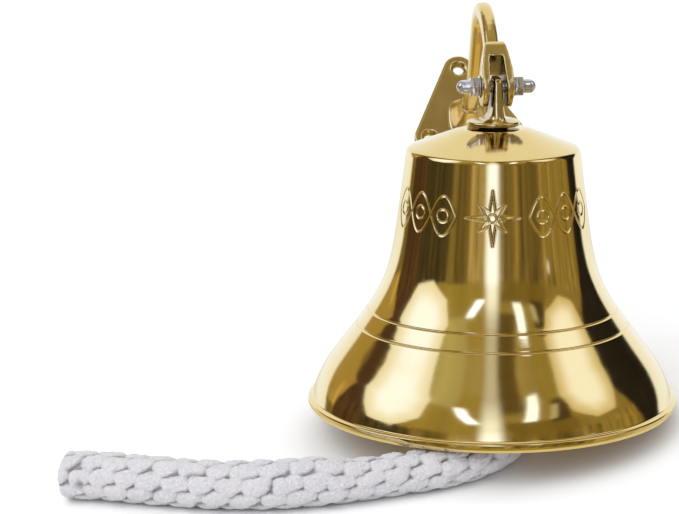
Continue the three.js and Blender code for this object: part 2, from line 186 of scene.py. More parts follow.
class Nodes:
    def __init__(self, tree):
        self.tree = tree
        tree.nodes.clear()

    def add(self, kind, inputs=None, **settings):
        node = self.tree.nodes.new(kind)
        for key, value in settings.items():
            setattr(node, key, value)
        for key, value in (inputs or {}).items():
            self.put(node.inputs[key], value)
        return node

    def put(self, socket, value):
        if isinstance(value, bpy.types.NodeSocket):
            self.tree.links.new(value, socket)
        else:
            socket.default_value = value

    def math(self, op, a, b=0.0):
        node = self.add("ShaderNodeMath", operation=op)
        self.put(node.inputs[0], a)
        self.put(node.inputs[1], b)
        return node.outputs[0]

    def mix(self, factor, a, b, blend="MIX"):
        """Mixes two colours: inputs 6 and 7 and output 2 are the node's colour sockets."""
        node = self.add("ShaderNodeMix", data_type="RGBA", blend_type=blend)
        self.put(node.inputs[0], factor)
        self.put(node.inputs[6], a if isinstance(a, bpy.types.NodeSocket) else (*a, 1))
        self.put(node.inputs[7], b if isinstance(b, bpy.types.NodeSocket) else (*b, 1))
        return node.outputs[2]

    def span(self, value, a, b, c=0.0, d=1.0, smooth=False):
        node = self.add("ShaderNodeMapRange", clamp=True)
        node.interpolation_type = "SMOOTHSTEP" if smooth else "LINEAR"
        for i, v in enumerate((value, a, b, c, d)):
            self.put(node.inputs[i], v)
        return node.outputs[0]

    def noise(self, vector, scale, detail=3.0, rough=0.5, stretch=None):
        if stretch:
            scaled = self.add("ShaderNodeVectorMath", {0: vector, 1: stretch}, operation="MULTIPLY")
            vector = scaled.outputs[0]
        return self.add(
            "ShaderNodeTexNoise", {"Vector": vector, "Scale": scale, "Detail": detail, "Roughness": rough}
        ).outputs["Fac"]


def material(name):
    mat = bpy.data.materials.new(name)
    mat.use_nodes = True
    n = Nodes(mat.node_tree)
    shader = n.add("ShaderNodeBsdfPrincipled")
    out = n.add("ShaderNodeOutputMaterial")
    mat.node_tree.links.new(shader.outputs[0], out.inputs[0])
    return mat, n, shader


def bump(n, shader, height, strength, distance, base=None):
    inputs = {"Height": height, "Strength": strength, "Distance": distance}
    if base is not None:
        inputs["Normal"] = base
    node = n.add("ShaderNodeBump", inputs)
    n.put(shader.inputs["Normal"], node.outputs[0])
    return node.outputs[0]


CORNER_REACH = 0.013                     # how far out the painted shade in corners and slots reaches, in metres
SCRATCH_DEPTH, TURNING_DEPTH = 0.00003, 0.00002


def metal(
    name, color, tint, rough, turned=0.0, scratches=1.0, aniso=0.0, mottle=0.05, painted_shade=0.0, metallic=1.0
):
    """Polished metal with fine scratches, faint tarnish, and turning marks around local Z if turned.

    painted_shade is how much painted shade is put into corners and slots, from ambient occlusion.
    """
    mat, n, s = material(name)
    spot = n.add("ShaderNodeTexCoord").outputs["Object"]
    tarnish = n.noise(spot, 42.0, 4.0, 0.55)
    smear = n.noise(spot, 130.0, 3.0, 0.6, (1, 1, 0.35))
    tone = n.span(tarnish, 0.42, 0.74, 0.0, 1.0, True)
    base = n.mix(n.math("MULTIPLY", tone, 0.55), color, tint)
    # painted shade: corners and slots darken towards a dark brass where the ambient occlusion is low
    if painted_shade:
        shade_ao = n.add("ShaderNodeAmbientOcclusion", {"Distance": CORNER_REACH}, samples=6).outputs["AO"]
        base = n.mix(n.span(shade_ao, 0.28, 0.92, painted_shade, 0.0, True), base, tuple(0.16 * v for v in tint))
    n.put(s.inputs["Base Color"], base)
    s.inputs["Metallic"].default_value = metallic
    hair = n.noise(spot, 900.0, 2.0, 0.6, (0.05, 0.6, 1.0))
    hair2 = n.noise(spot, 800.0, 2.0, 0.6, (1.0, 0.08, 0.5))
    rubbed = n.math("ADD", n.math("MULTIPLY", smear, mottle * 2), rough - mottle)
    if turned:
        xyz = n.add("ShaderNodeSeparateXYZ", {0: spot})
        radius = n.math("SQRT", n.math(
            "ADD", n.math("MULTIPLY", xyz.outputs[0], xyz.outputs[0]),
            n.math("MULTIPLY", xyz.outputs[1], xyz.outputs[1])))
        around = n.add("ShaderNodeCombineXYZ", {0: radius, 2: xyz.outputs[2]}).outputs[0]
        rings = n.noise(around, 2400.0, 3.0, 0.7)
        broad = n.noise(around, 300.0, 2.0, 0.5)
        rubbed = n.math("ADD", rubbed, n.math("MULTIPLY", n.math("SUBTRACT", broad, 0.5), 0.06))
        first = bump(n, s, rings, turned, TURNING_DEPTH)
        bump(n, s, n.math("ADD", hair, hair2), 0.10 * scratches, SCRATCH_DEPTH, first)
    else:
        bump(n, s, n.math("ADD", hair, hair2), 0.22 * scratches, SCRATCH_DEPTH)
    n.put(s.inputs["Roughness"], n.math("MAXIMUM", rubbed, 0.03))
    if aniso:
        s.inputs["Anisotropic"].default_value = aniso
        tangent = n.add("ShaderNodeTangent", direction_type="RADIAL", axis="Z")
        n.put(s.inputs["Tangent"], tangent.outputs[0])
    return mat


BRASS = (0.93, 0.74, 0.38)
BRASS_DULL = (0.80, 0.57, 0.25)
bell_brass = metal(
    "bell_brass", BRASS, (0.90, 0.69, 0.32), 0.085, turned=0.35, aniso=0.45, mottle=0.02)
# the inside of the bell is rougher and turned, and its darker colour paints the shade inside the bell
inner_brass_rough_and_shaded = metal(
    "inner_brass_rough_and_shaded", (0.70, 0.52, 0.26), (0.48, 0.34, 0.16), 0.34, turned=1.0, mottle=0.08)
# the yoke and the bracket get painted shade in their corners and slots
yoke_brass = metal(
    "yoke_brass", (0.90, 0.71, 0.36), BRASS_DULL, 0.17, scratches=1.4, mottle=0.04, painted_shade=0.95)
bracket_brass = metal(
    "bracket_brass", (0.93, 0.73, 0.37), BRASS_DULL, 0.23, scratches=1.2, mottle=0.05, painted_shade=0.95)
clapper_brass = metal(
    "clapper_brass", (0.82, 0.63, 0.31), (0.55, 0.40, 0.18), 0.24, scratches=1.6, mottle=0.07)
plated = metal(
    "plated_steel", (0.70, 0.70, 0.80), (0.56, 0.56, 0.64), 0.07, scratches=1.2, mottle=0.03, metallic=0.86)


def fibre_material():
    mat, n, s = material("gasket_fibre")
    spot = n.add("ShaderNodeTexCoord").outputs["Object"]
    grain = n.noise(spot, 1400.0, 5.0, 0.65)
    color = n.mix(n.span(grain, 0.35, 0.7), (0.035, 0.022, 0.014), (0.11, 0.075, 0.05))
    n.put(s.inputs["Base Color"], color)
    n.put(s.inputs["Roughness"], n.span(grain, 0.3, 0.7, 0.6, 0.9))
    bump(n, s, grain, 0.5, 0.0001)
    return mat


def cotton_material():
    """Soft white cotton yarn: UV runs along the rope and around it, and low marks the creases, which are
    painted dark as shade.
    """
    mat, n, s = material("cotton")
    uv = n.add("ShaderNodeUVMap", uv_map="strand").outputs[0]
    spot = n.add("ShaderNodeTexCoord").outputs["Object"]
    low = n.add("ShaderNodeAttribute", attribute_name="low").outputs["Fac"]
    yarn = n.noise(uv, 1.0, 3.0, 0.6, (170.0, 1150.0, 1.0))
    fluff = n.noise(spot, 900.0, 4.0, 0.7)
    cloud = n.noise(spot, 90.0, 2.0, 0.5)
    light = n.mix(n.span(fluff, 0.35, 0.68), (0.52, 0.505, 0.535), (0.76, 0.74, 0.775))
    warm = n.mix(n.span(cloud, 0.4, 0.7, 0.0, 0.5), light, (0.66, 0.64, 0.65))
    # painted shade: the cotton darkens towards grey deeper in the creases
    crease_shade = n.mix(n.span(low, 0.0, 0.9, 0.0, 0.72), warm, (0.20, 0.19, 0.20))
    n.put(s.inputs["Base Color"], crease_shade)
    s.inputs["Roughness"].default_value = 0.95
    s.inputs["Sheen Weight"].default_value = 0.35
    s.inputs["Sheen Roughness"].default_value = 0.6
    s.inputs["Subsurface Weight"].default_value = 0.08
    s.inputs["Subsurface Radius"].default_value = (0.0012, 0.001, 0.0009)
    height = n.math("ADD", n.math("MULTIPLY", yarn, 0.7), n.math("MULTIPLY", fluff, 0.8))
    bump(n, s, height, 0.9, 0.0009)
    return mat


fibre = fibre_material()
cotton = cotton_material()


# ---------------------------------------------------------------- bell rope


def hermite(p1, p2, t1, t2, w):
    """The point at w, from 0 to 1, of the cubic from p1 to p2 that leaves along t1 and arrives along t2."""
    return (2 * p1 - 2 * p2 + t1 + t2) * w ** 3 + (-3 * p1 + 3 * p2 - 2 * t1 - t2) * w ** 2 + t1 * w + p1


def centripetal(points, per_span=60):
    """The centripetal Catmull-Rom curve through points."""
    pts = [np.array(p, float) for p in points]
    pts = [2 * pts[0] - pts[1]] + pts + [2 * pts[-1] - pts[-2]]
    out = []
    for i in range(1, len(pts) - 2):
        p0, p1, p2, p3 = pts[i - 1:i + 3]
        d0, d1, d2 = (math.sqrt(np.linalg.norm(b - a)) for a, b in ((p0, p1), (p1, p2), (p2, p3)))
        t1 = ((p1 - p0) / d0 - (p2 - p0) / (d0 + d1) + (p2 - p1) / d1) * d1
        t2 = ((p2 - p1) / d1 - (p3 - p1) / (d1 + d2) + (p3 - p2) / d2) * d1
        out += [hermite(p1, p2, t1, t2, k / per_span) for k in range(per_span)]
    out.append(pts[-2])
    return np.array(out)


def distances(line):
    """How far along the line each of its points lies."""
    return np.r_[0, np.cumsum(np.linalg.norm(np.diff(line, axis=0), axis=1))]


def directions(line):
    """Unit vectors along the line, one for each of its points."""
    t = np.gradient(line, axis=0)
    return t / np.linalg.norm(t, axis=1)[:, None]


def resample(line, count):
    """count points at even distances along the line, and its length."""
    step = distances(line)
    at = np.linspace(0, step[-1], count)
    return np.stack([np.interp(at, step, line[:, k]) for k in range(3)], 1), step[-1]


def mark_crease_shade(obj, low):
    """Stores how deep in a crease each vertex lies, from 0 to 1, which the cotton material paints as shade.
    """
    obj.data.attributes.new("low", "FLOAT", "POINT").data.foreach_set("value", low.ravel())


# The rope, in mm. ROPE_W and ROPE_H are its size where the rim presses on it. It is swollen for SWELL_TO from
# its outer end, and the swelling fades out over SWELL_FADE.
ROPE_W, ROPE_H = 25.6, 21.6
SWELL_TO, SWELL_FADE = 138.0, 26
SWELL_SIDE, SWELL_HEIGHT, SWELL_LIFT = 0.9, 1.8, 1.7
# The braid: rows of lobes around the rope, the distance from lobe to lobe, and the girth they are laid out on
BRAID_ROWS, BRAID_PITCH, BRAID_AROUND = 8, 13.9, 72.0
LOBE_HEIGHT, LOBE_ROOT = 3.1, 2.7        # how far a lobe stands out, and how deep in the rope it starts
TABLE_GAP = 0.2                          # where the flattened underside begins, above the table
ROPE_RINGS, ROPE_SIDES = 720, 168
END_RINGS = 5                            # rings that close each end
EYE = TAIL @ Vector((0, 0, -0.1262))
ROPE_END = EYE + Vector((0, -0.022, 0))
ROPE_END.z = ROPE_H / 2 * MM
# ROUTE is the rope's middle line on the table, in mm, from its outer end inwards. AWAY is where the frame's
# origin lies on the same plan.
AWAY = Vector((0.664386, 33.130272, 0))
ROUTE = [
    (-235, -49.7), (-213, -57.5), (-187, -69.5), (-162, -80.5), (-137, -88), (-112, -91.2), (-86, -90.5),
    (-60, -87.2), (-41.5, -84.3), (-24.2, -78), (-10, -68), (1, -54.5), (7.4, -39),
]
route = [Vector((x - AWAY.x, y - AWAY.y, ROPE_H / 2)) * MM for x, y in ROUTE]
route += [ROPE_END + Vector((-0.0001, -0.014, 0)), ROPE_END]
rope_line, ROPE_LENGTH = resample(centripetal(route), ROPE_RINGS)


def braid_height(s, w, rows, pitch, around, seed):
    """Height of the braid's lobes, from 0 to 1, over s along the rope and w around it, in mm.

    Each lobe is a slanted dome that narrows to one end and differs a little from its neighbours.
    """
    best = np.zeros_like(s)
    rng = np.random.default_rng(seed)
    length = float(s.max())
    row_h = around / rows
    for row in range(rows):
        for k in range(-1, int(length / pitch) + 2):
            jx, jy, jb, jh, ja = rng.uniform(-1, 1, 5)
            cs = (k + 0.5 * (row % 2)) * pitch + 1.0 * jx
            cw = (row + 0.5) * row_h + 0.6 * jy
            ds = s - cs
            near = np.abs(ds) < pitch
            if not near.any():
                continue
            dw = (w - cw + around / 2) % around - around / 2
            tilt = math.radians(17 + 7 * jb)
            p = ds * math.cos(tilt) + dw * math.sin(tilt)
            q = -ds * math.sin(tilt) + dw * math.cos(tilt)
            half_l, half_w = pitch * 0.60 * (1 + 0.06 * ja), row_h * 0.585
            half_w = half_w * np.maximum(1 - 0.20 * p / half_l, 0.1)
            e = (np.abs(p) / half_l) ** 2.6 + (np.abs(q) / half_w) ** 2.5
            dome = np.clip(1 - e, 0, None) ** 0.46 * (0.92 + 0.08 * jh) - 0.08 * p / half_l * (e < 1)
            best = np.where(near, np.maximum(best, dome), best)
    return best


def build_rope():
    t = directions(rope_line)
    side = np.stack([-t[:, 1], t[:, 0], np.zeros(ROPE_RINGS)], 1)
    s = np.linspace(0, ROPE_LENGTH * 1000, ROPE_RINGS)[:, None] * np.ones((1, ROPE_SIDES))
    phi = np.linspace(0, 2 * math.pi, ROPE_SIDES, endpoint=False)[None, :] * np.ones((ROPE_RINGS, 1))
    w = (phi / (2 * math.pi) * BRAID_AROUND) % BRAID_AROUND
    bend_s = s + value_noise(s / 5, w / 5, 21) * 1.5 + value_noise(s / 2, w / 2, 23) * 0.4
    bend_w = w + value_noise(s / 6, w / 6, 22) * 1.2 + value_noise(s / 2, w / 2, 24) * 0.4
    h = braid_height(bend_s, bend_w % BRAID_AROUND, BRAID_ROWS, BRAID_PITCH, BRAID_AROUND, 5)
    fine = value_noise(s * 0.5, w * 0.5, 3) * 0.30 + value_noise(s * 1.2, w * 1.2, 4) * 0.22
    lump = value_noise(s / 17, w / 30, 8) * 0.35
    # both ends are cut and tucked in: rounded over, with the middle sunk
    left = np.clip(s / 3.6, 0, 1)
    right = np.clip((s.max() - s) / 5.0, 0, 1)
    round_off = np.sqrt(1 - (1 - left) ** 2 * 0.62) * np.sqrt(1 - (1 - right) ** 2 * 0.55)
    # a deep gap between two lobes near the outer end, on the side towards the camera
    gap = np.exp(-((s - 13.5) / 2.1) ** 2 - ((w - 0.50 * BRAID_AROUND) / 2.4) ** 2)
    relief = LOBE_HEIGHT * h + fine + lump - 2.2 * gap
    # the cotton swells where the rim does not press on it
    free = eased(1 - np.clip((s - SWELL_TO) / SWELL_FADE, 0, 1))
    half_w = (ROPE_W / 2 - LOBE_ROOT + SWELL_SIDE * free + relief) * round_off
    half_h = (ROPE_H / 2 - LOBE_ROOT + SWELL_HEIGHT * free + relief * 0.94) * round_off
    # phi = 0 is the far side of the rope, pi the side towards the camera, pi / 2 the underside
    across = np.cos(phi) * half_w
    up = SWELL_LIFT * free - np.sin(phi) * half_h
    # the table flattens the underside
    table = -ROPE_H / 2 + TABLE_GAP
    up = np.where(up < table, table + (up + ROPE_H / 2 - TABLE_GAP) * 0.12, up)
    points = (
        rope_line[:, None, :] + side[:, None, :] * across[..., None] * MM
        + np.array([0, 0, 1.0])[None, None, :] * up[..., None] * MM
    )
    # each end is closed with rings that step inwards, given as (share of the radius, depth in mm)
    ends = []
    for first, way in ((0, 1), (-1, -1)):
        stack = []
        for frac, depth in ((0.86, -0.5), (0.66, -0.3), (0.45, 0.9), (0.22, 1.8), (0.04, 2.2)):
            ring = rope_line[first] + (points[first] - rope_line[first]) * frac
            wob = 0.5 * np.sin(phi[0] * 5 + frac * 9) * frac
            stack.append(ring + t[first] * way * (depth + wob)[:, None] * MM)
        ends.append(stack)
    points = np.concatenate([np.array(ends[0][::-1]), points, np.array(ends[1])], 0)
    obj = tube_mesh("bell_rope_braid", points)
    rows, cols = points.shape[:2]
    body = slice(END_RINGS, -END_RINGS)
    # painted shade: low is high in the creases between lobes, in the deep gap and at the sunk ends
    low = np.zeros((rows, cols), np.float32)
    low[body] = np.clip((0.66 - h) / 0.5, 0, 1)
    low[body] = np.maximum(low[body], gap)
    low[:3], low[-3:] = 0.8, 0.8
    mark_crease_shade(obj, low)
    # the yarn runs slantwise, so the UV axes are turned against the rope
    layer = obj.data.uv_layers.new(name="strand")
    vert_uv = np.zeros((rows, cols, 2), np.float32)
    tilt = math.radians(27)
    vert_uv[body, :, 0] = (s * math.cos(tilt) + w * math.sin(tilt)) * MM
    vert_uv[body, :, 1] = (-s * math.sin(tilt) + w * math.cos(tilt)) * MM
    vert_uv[:END_RINGS], vert_uv[-END_RINGS:] = vert_uv[END_RINGS], vert_uv[-END_RINGS - 1]
    loops = np.zeros(len(obj.data.loops), np.int64)
    obj.data.loops.foreach_get("vertex_index", loops)
    layer.data.foreach_set("uv", vert_uv.reshape(-1, 2)[loops].ravel())
    give(obj, cotton)
    return obj


rope = build_rope()


# ---------------------------------------------------------------- the becket cord on the rope's end


def twisted_cord(name, line, radius, strands, lay, sides=36):
    """A cord of twisted strands along line. lay is the length of one turn."""
    rows = len(line)
    t = directions(line)
    ref = np.cross(t, np.array([1.0, 0, 0]))
    ref /= np.linalg.norm(ref, axis=1)[:, None]
    other = np.cross(t, ref)
    step = distances(line)
    phi = np.linspace(0, 2 * math.pi, sides, endpoint=False)
    points = np.zeros((rows, sides, 3))
    low = np.zeros((rows, sides), np.float32)
    for i in range(rows):
        wave = np.abs(np.sin(strands / 2 * (phi + 2 * math.pi * step[i] / lay)))
        r = radius * (0.80 + 0.20 * wave)
        # painted shade in the grooves between the strands
        low[i] = np.clip(1 - wave * 2.5, 0, 1)
        points[i] = line[i] + ref[i] * (np.cos(phi) * r)[:, None] + other[i] * (np.sin(phi) * r)[:, None]
    obj = tube_mesh(name, points)
    mark_crease_shade(obj, low)
    obj.data.uv_layers.new(name="strand")
    give(obj, cotton)
    return obj


def build_becket():
    """A loop from the rope's end round the ring in the tail's eye, and back."""
    arc = 0.0037
    y0, mouth = EYE.y - 0.016, ROPE_END.y + 0.0003
    pts = [(EYE.x, mouth, EYE.z - arc)]
    for i in range(9):
        a = -math.pi / 2 + i * math.pi / 8
        pts.append((EYE.x, y0 + arc * math.cos(a), EYE.z + arc * math.sin(a)))
    pts.append((EYE.x, mouth, EYE.z + arc))
    line, _ = resample(centripetal(pts, 24), 110)
    return twisted_cord("becket_cord", line, radius=0.0015, strands=3, lay=0.006)


becket = build_becket()
for piece, node in ((rope, "bell_rope"), (becket, "rope_becket")):
    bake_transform(piece)
    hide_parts(node)


# ---------------------------------------------------------------- bell shell

# The outside of the wall as (radius, height above the mouth), in mm
OUTSIDE = np.array([
    (98.9, 6.4), (97.12, 12), (94.48, 18), (90.43, 25), (84.63, 33), (78.48, 41), (71.87, 50), (65.84, 59),
    (61.01, 68), (57.28, 78), (54.5, 90), (52.28, 104), (49.85, 122), (47.3, 141.6),
])


def spline(points, count):
    """A uniform Catmull-Rom curve with its end points held."""
    out = []
    last = len(points) - 1
    for t in np.linspace(0, last, count):
        i = min(int(t), last - 1)
        w = t - i
        p0, p1, p2, p3 = (points[max(0, min(last, k))] for k in (i - 1, i, i + 1, i + 2))
        out.append(hermite(p1, p2, (p2 - p0) / 2, (p3 - p1) / 2, w))
    return np.array(out)


CURVE = spline(OUTSIDE, 4000)


def outside_radius(z):
    return np.interp(z, CURVE[:, 1], CURVE[:, 0])


def fillet(points, radius, steps=5):
    """Rounds the corners of a polyline by up to radius."""
    pts = [np.array(p, float) for p in points]
    out = [pts[0]]
    for a, b, c in zip(pts, pts[1:], pts[2:]):
        u, v = a - b, c - b
        lu, lv = np.linalg.norm(u), np.linalg.norm(v)
        d = min(radius, lu * 0.45, lv * 0.45)
        p, q = b + u / lu * d, b + v / lv * d
        for k in range(steps + 1):
            w = k / steps
            out.append((1 - w) ** 2 * p + 2 * w * (1 - w) * b + w * w * q)
    out.append(pts[-1])
    return out


BAND = (97.4, 129.8)                     # heights of the engraved band
GROOVES = (46.6, 55.2)                   # heights of the two turned lines
GROOVE_HALF, GROOVE_DEPTH = 0.6, 0.6
GROOVE_STEPS = (0.15, 0.3, 0.45, 0.6, 0.75, 1.0, 1.5)
WALL, SOUND_BOW, SOUND_BOW_TOP = 3.8, 1.2, 35


def outer_profile():
    lip = [(97.5, 0), (99.5, 0), (101.5, 2.4), (101.5, 5.0), (99.9, 5.45), (99.0, 6.0), (98.85, 6.5)]
    lip = fillet(lip, 0.7)[1:]
    heights = list(np.linspace(6.8, 44.6, 60)) + list(np.linspace(58, BAND[0], 44))
    heights += list(np.arange(BAND[0] + 0.25, BAND[1], 0.25)) + list(np.linspace(BAND[1], 141.6, 16))
    for g in GROOVES:
        heights += [g] + [g + way * d for d in GROOVE_STEPS for way in (-1, 1)]
    heights += [49, 50, 51, 52, 53]
    wall = []
    for z in sorted(heights):
        r = float(outside_radius(z))
        for g in GROOVES:
            d = abs(z - g)
            r -= GROOVE_DEPTH * max(0.0, 1 - (d / GROOVE_HALF) ** 2)
            r += 0.05 * math.exp(-((d - 0.85) / 0.2) ** 2)
        wall.append((r, z))
    top = [wall[-1], (46.7, 143.0), (45.5, 143.8), (32, 149), (20, 153.6), (17, 154.4), (6.25, 154.4)]
    top = fillet(top, 2.2, 7)
    dome = []
    for a, b in zip(top, top[1:]):
        steps = max(1, int(np.linalg.norm(np.subtract(b, a)) / 1.6))
        dome += [tuple(np.array(a) + (np.array(b) - np.array(a)) * k / steps) for k in range(1, steps + 1)]
    return [tuple(p) for p in lip] + wall + dome


def inner_profile():
    pts = [(6.25, 150.0), (15, 150), (30, 144.6), (40.5, 140.4), (43, 137.5)]
    for z in (122, 102, 82, 66, 52, 40, 30, 21, 12):
        pts.append((float(outside_radius(z + 1)) - WALL - (SOUND_BOW if z < SOUND_BOW_TOP else 0), z))
    pts += [(96.7, 4), (96.3, 0)]
    return [tuple(p) for p in fillet(pts, 3.0, 4)]


# Engraving: an eight-point star with a chain of three lenses on each side, drawn as (mm around, mm up)
STROKE_HALF, STROKE_DEPTH, BURR = 0.66, 0.45, 0.03


def star_stroke(cx, cy, big, small):
    tips = []
    for i in range(8):
        a = math.pi / 2 + i * math.pi / 4
        r = big if i % 2 == 0 else small
        tips.append((cx + r * math.cos(a), cy + r * math.sin(a)))
        b = a + math.pi / 8
        tips.append((cx + 0.27 * big * math.cos(b), cy + 0.27 * big * math.sin(b)))
    return tips + [tips[0]]


def circle_stroke(cx, cy, r, n=28):
    turns = [2 * math.pi * i / n for i in range(n + 1)]
    return [(cx + r * math.cos(a), cy + r * math.sin(a)) for a in turns]


def wave_stroke(x0, x1, y, height, halves, n=14):
    total = halves * n
    return [
        (x0 + (x1 - x0) * i / total, y + height * math.sin(math.pi * halves * i / total))
        for i in range(total + 1)
    ]


def engraving():
    """The lines to cut. mid is their middle height, and each chain runs from first to last."""
    mid, first, last, halves = 113.6, 20, 68, 3
    lines = [star_stroke(0, mid, 14.6, 9.6), circle_stroke(0, mid, 2.2)]
    step = (last - first) / halves
    for way in (-1, 1):
        lines += [wave_stroke(way * first, way * last, mid, h, halves) for h in (10.5, -10.5)]
        for k in range(halves):
            lines.append(circle_stroke(way * (first + step * (k + 0.5)), mid, 3.4))
    return lines


def cut_depth(x, y):
    """How deep the V-cut strokes go, in mm, at x around the bell and y up it."""
    near = np.full(x.shape, 99.0)
    for line in engraving():
        for (ax, ay), (bx, by) in zip(line, line[1:]):
            dx, dy = bx - ax, by - ay
            w = np.clip(((x - ax) * dx + (y - ay) * dy) / (dx * dx + dy * dy), 0, 1)
            near = np.minimum(near, np.hypot(x - ax - w * dx, y - ay - w * dy))
    depth = np.clip(1.0 - near / STROKE_HALF, 0, None)
    return STROKE_DEPTH * depth - BURR * np.exp(-((near - 0.82) / 0.2) ** 2)


BAND_RADIUS = 51.5                       # the engraving is laid out around this radius
DENSE_HALF = 78                          # the front of the bell has a finer mesh, this many degrees each way


def build_shell():
    outer, inner = outer_profile(), inner_profile()
    front = math.radians(-90 + VIEW_AZ)
    dense = np.radians(np.arange(-DENSE_HALF, DENSE_HALF + 0.01, 0.26))
    rest = np.radians(np.linspace(DENSE_HALF, 360 - DENSE_HALF, 206)[1:-1])
    phi = front + np.concatenate([dense, rest])
    prof = np.array(outer + inner)
    r = prof[:, 0][:, None] * np.ones((1, len(phi)))
    z = prof[:, 1][:, None] * np.ones((1, len(phi)))
    in_band = (np.arange(len(prof)) < len(outer)) & (prof[:, 1] > BAND[0] - 1) & (prof[:, 1] < BAND[1] + 1)
    around = phi - front
    around = np.where(around > math.pi, around - 2 * math.pi, around)
    x = around[None, :] * BAND_RADIUS * np.ones_like(r)
    r[in_band] -= cut_depth(x[in_band], z[in_band])
    points = np.stack([r * np.cos(phi), r * np.sin(phi), z], -1) * MM
    rows, cols = r.shape
    obj = new_mesh("bell_shell_cast", points.reshape(-1, 3), quads(rows, cols, True), BELL, sharp=55)
    give(obj, bell_brass, inner_brass_rough_and_shaded)
    slots = np.zeros(len(obj.data.polygons), np.int32)
    slots[(len(outer) - 1) * cols:] = 1
    obj.data.polygons.foreach_set("material_index", slots)
    return obj


shell = build_shell()
place(shell, "bell", "polished_brass", "bell_shell")


# ---------------------------------------------------------------- finer copies of the cast and turned pieces


EDGE_ANGLE, SHARP_ANGLE = 28, 40         # degrees: edges to round, and edges to leave unsmoothed


def mesh_of(node, frame_matrix):
    """A copy of a CAD node's mesh, in the axes of frame_matrix."""
    source = frame["nodes"][node]
    mesh = source.data.copy()
    mesh.transform(frame_matrix.inverted() @ source.matrix_world)
    return mesh


def finer(node, body, slot, mat, name, frame_matrix, bevel):
    """A copy of a CAD node with its edges rounded, drawn in the axes of frame_matrix."""
    mesh = mesh_of(node, frame_matrix)
    mesh.name = name
    obj = linked(name, mesh, frame_matrix)
    bm = bmesh.new()
    bm.from_mesh(mesh)
    bmesh.ops.remove_doubles(bm, verts=bm.verts, dist=1e-6)
    bmesh.ops.dissolve_limit(bm, angle_limit=math.radians(1.0), verts=bm.verts, edges=bm.edges)
    if bevel:
        steep = math.radians(EDGE_ANGLE)
        edges = [e for e in bm.edges if len(e.link_faces) == 2 and e.calc_face_angle(0) > steep]
        bmesh.ops.bevel(
            bm, geom=edges, offset=bevel, segments=3, profile=0.5, affect="EDGES", clamp_overlap=True
        )
    bmesh.ops.triangulate(bm, faces=[f for f in bm.faces if len(f.verts) > 4])
    bm.to_mesh(mesh)
    bm.free()
    mesh.shade_smooth()
    mesh.set_sharp_from_angle(angle=math.radians(SHARP_ANGLE))
    give(obj, mat)
    return place(obj, body, slot, node)


def cast(node, body, slot, mat, name, frame_matrix, voxel, rounds):
    """A copy of a CAD node with the soft edges and corners of a polished casting."""
    mesh = mesh_of(node, frame_matrix)
    draft = linked(name + "_draft", mesh)
    remesh = draft.modifiers.new("remesh", "REMESH")
    remesh.mode, remesh.voxel_size = "VOXEL", voxel
    smooth = draft.modifiers.new("smooth", "SMOOTH")
    smooth.factor, smooth.iterations = 0.5, rounds
    done = bpy.data.meshes.new_from_object(draft.evaluated_get(bpy.context.evaluated_depsgraph_get()))
    bpy.data.objects.remove(draft)
    bpy.data.meshes.remove(mesh)
    done.name = name
    done.shade_smooth()
    obj = linked(name, done, frame_matrix)
    give(obj, mat)
    return place(obj, body, slot, node)


cast("crown_yoke", "bell", "yoke_brass", yoke_brass, "crown_yoke_cast", BELL, 0.00035, 6)
cast("wall_bracket", "bracket", "bracket_brass", bracket_brass, "wall_bracket_cast", ROW, 0.0005, 9)
for part in ("bolt_washer_left", "bolt_washer_right", "cap_nut_left", "cap_nut_right", "clevis_bolt"):
    finer(part, "bracket", "plated_steel", plated, part + "_plated", ROW, 0.00025)
for part in ("crown_washer", "crown_nut"):
    finer(part, "bell", "plated_steel", plated, part + "_plated", BELL, 0.00025)
for part in ("clapper_pin", "clapper_pin_ring"):
    finer(part, "bell", "plated_steel", plated, part + "_plated", SWING, 0.0002)
finer("clapper_staple", "bell", "clapper_brass", clapper_brass, "clapper_staple_cast", SWING, 0.0004)
for part in ("clapper_rod", "clapper_ball", "clapper_tail"):
    finer(part, "clapper", "clapper_brass", clapper_brass, part + "_turned", CLAPPER, 0.0003)
finer("rope_ring", "clapper", "plated_steel", plated, "rope_ring_plated", TAIL, 0)
finer("crown_gasket", "bell", "gasket_fibre", fibre, "crown_gasket_cut", BELL, 0.0001)


# ---------------------------------------------------------------- floor, studio and lights


def build_floor():
    corners = [(-4, -4, 0), (4, -4, 0), (4, 4, 0), (-4, 4, 0)]
    obj = new_mesh("floor", corners, [(0, 1, 2, 3)], shift(0, 0, -0.0002))
    mat, _, s = material("floor_paper")
    s.inputs["Base Color"].default_value = (0.95, 0.95, 0.95, 1)
    s.inputs["Roughness"].default_value = 0.9
    s.inputs["Specular IOR Level"].default_value = 0.1
    give(obj, mat)
    obj.visible_glossy = False


build_floor()


def lit(red, green, blue, gain=1.0):
    """The light that shows as this screen colour, 0 to 255, in polished brass."""
    out = []
    for value, base in zip((red, green, blue), BRASS):
        v = value / 255
        out.append(gain * (v / 12.92 if v < 0.04045 else ((v + 0.055) / 1.055) ** 2.4) / base)
    return tuple(out)


